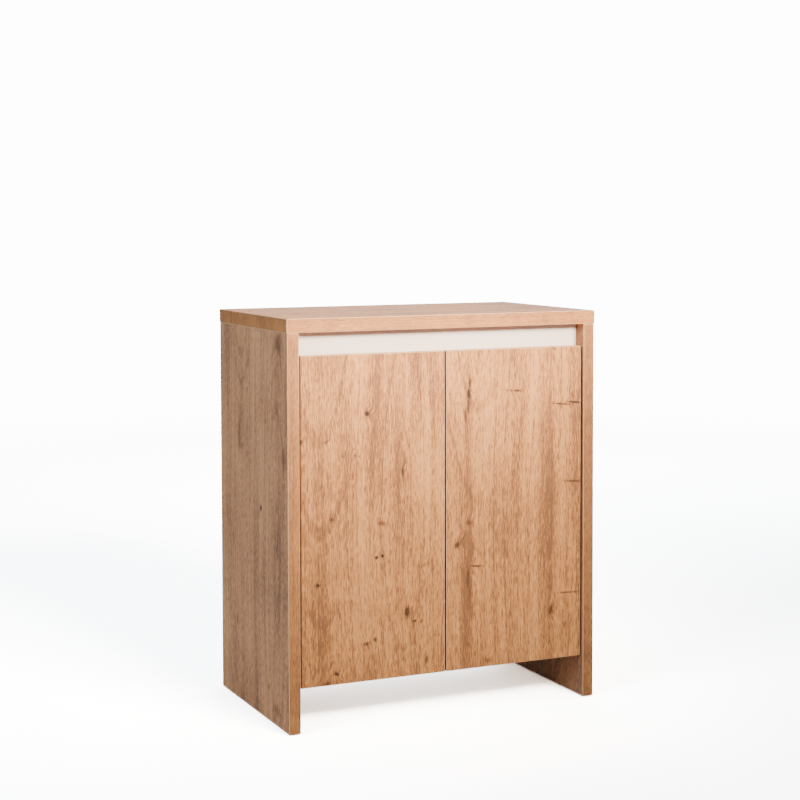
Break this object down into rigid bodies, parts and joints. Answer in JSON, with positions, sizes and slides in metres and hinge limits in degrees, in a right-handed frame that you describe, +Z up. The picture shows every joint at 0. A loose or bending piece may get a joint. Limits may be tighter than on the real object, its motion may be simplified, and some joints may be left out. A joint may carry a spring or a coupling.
{
  "type": "aquarium stand cabinet",
  "caption": "Floor-standing cabinet for an aquarium: thick top on full-depth side panels, two inset doors on concealed hinges over a shelf, raised off the floor.",
  "frame": {"origin": "middle of the footprint, on the floor", "axes": "+X to the right seen from the doors, +Y to the back, +Z up"},
  "size_m": [0.614, 0.361, 0.73],
  "materials": {
    "oak_decor": "satin oak-grain decor with vertical grain, horizontal on the top edge",
    "light_grey_decor": "satin plain decor",
    "nickel_plated_steel": "bright nickel plating",
    "cast_zinc": "dull die casting",
    "beech": "raw, fluted",
    "soft_bumper": "soft, slightly milky",
    "black_plastic": "matt"
  },
  "bodies": {
    "root": {"left_side_panel": "oak_decor", "right_side_panel": "oak_decor", "top_panel": "oak_decor", "bottom_panel": "light_grey_decor", "back_panel": "light_grey_decor", "front_rail": "light_grey_decor", "rear_rail": "light_grey_decor", "shelf": "light_grey_decor", "shelf_pin_front_left": "nickel_plated_steel", "shelf_pin_back_left": "nickel_plated_steel", "shelf_pin_front_right": "nickel_plated_steel", "shelf_pin_back_right": "nickel_plated_steel", "left_upper_hinge_plate": "nickel_plated_steel", "left_upper_hinge_arm": "nickel_plated_steel", "left_lower_hinge_plate": "nickel_plated_steel", "left_lower_hinge_arm": "nickel_plated_steel", "right_upper_hinge_plate": "nickel_plated_steel", "right_upper_hinge_arm": "nickel_plated_steel", "right_lower_hinge_plate": "nickel_plated_steel", "right_lower_hinge_arm": "nickel_plated_steel", "top_cam_front_left": "cast_zinc", "top_bolt_front_left": "nickel_plated_steel", "bottom_cam_front_left": "cast_zinc", "bottom_bolt_front_left": "nickel_plated_steel", "top_cam_back_left": "cast_zinc", "top_bolt_back_left": "nickel_plated_steel", "bottom_cam_back_left": "cast_zinc", "bottom_bolt_back_left": "nickel_plated_steel", "top_cam_front_right": "cast_zinc", "top_bolt_front_right": "nickel_plated_steel", "bottom_cam_front_right": "cast_zinc", "bottom_bolt_front_right": "nickel_plated_steel", "top_cam_back_right": "cast_zinc", "top_bolt_back_right": "nickel_plated_steel", "bottom_cam_back_right": "cast_zinc", "bottom_bolt_back_right": "nickel_plated_steel", "front_rail_dowel_left": "beech", "rear_rail_dowel_left": "beech", "front_rail_dowel_right": "beech", "rear_rail_dowel_right": "beech", "door_bumper_left": "soft_bumper", "door_bumper_right": "soft_bumper", "glide_front_left": "black_plastic", "glide_back_left": "black_plastic", "glide_front_right": "black_plastic", "glide_back_right": "black_plastic"},
    "left_door": {"left_door": "oak_decor", "left_upper_hinge_cup": "nickel_plated_steel", "left_lower_hinge_cup": "nickel_plated_steel"},
    "left_outer_links": {"left_upper_hinge_outer_link": "nickel_plated_steel", "left_lower_hinge_outer_link": "nickel_plated_steel"},
    "left_inner_links": {"left_upper_hinge_inner_link": "nickel_plated_steel", "left_lower_hinge_inner_link": "nickel_plated_steel"},
    "right_door": {"right_door": "oak_decor", "right_upper_hinge_cup": "nickel_plated_steel", "right_lower_hinge_cup": "nickel_plated_steel"},
    "right_outer_links": {"right_upper_hinge_outer_link": "nickel_plated_steel", "right_lower_hinge_outer_link": "nickel_plated_steel"},
    "right_inner_links": {"right_upper_hinge_inner_link": "nickel_plated_steel", "right_lower_hinge_inner_link": "nickel_plated_steel"}
  },
  "joints": [
    {"name": "left_door_hinge", "type": "hinge", "parent": "root", "child": "left_door", "pos_m": [-0.2695, -0.17, 0.372], "axis": [0, 0, -1], "range_deg": [0, 105], "stiffness_Nm_per_rad": 0.2, "springref_deg": -34.38},
    {"name": "left_outer_links_pivot", "type": "hinge", "parent": "root", "child": "left_outer_links", "pos_m": [-0.25101, -0.15753, 0.372], "axis": [0, 0, -1], "range_deg": [-22, 0]},
    {"name": "left_inner_links_pivot", "type": "hinge", "parent": "root", "child": "left_inner_links", "pos_m": [-0.25179, -0.15166, 0.372], "axis": [0, 0, -1], "range_deg": [-17, 0]},
    {"name": "right_door_hinge", "type": "hinge", "parent": "root", "child": "right_door", "pos_m": [0.2695, -0.17, 0.372], "axis": [0, 0, 1], "range_deg": [0, 105], "stiffness_Nm_per_rad": 0.2, "springref_deg": -34.38},
    {"name": "right_outer_links_pivot", "type": "hinge", "parent": "root", "child": "right_outer_links", "pos_m": [0.25101, -0.15753, 0.372], "axis": [0, 0, 1], "range_deg": [-22, 0]},
    {"name": "right_inner_links_pivot", "type": "hinge", "parent": "root", "child": "right_inner_links", "pos_m": [0.25179, -0.15166, 0.372], "axis": [0, 0, 1], "range_deg": [-17, 0]}
  ],
  "couplings": [
    {"joint": "left_outer_links_pivot", "follows": "left_door_hinge", "ratio": -0.20191},
    {"joint": "left_inner_links_pivot", "follows": "left_door_hinge", "ratio": -0.14922},
    {"joint": "right_outer_links_pivot", "follows": "right_door_hinge", "ratio": -0.20191},
    {"joint": "right_inner_links_pivot", "follows": "right_door_hinge", "ratio": -0.14922}
  ]
}
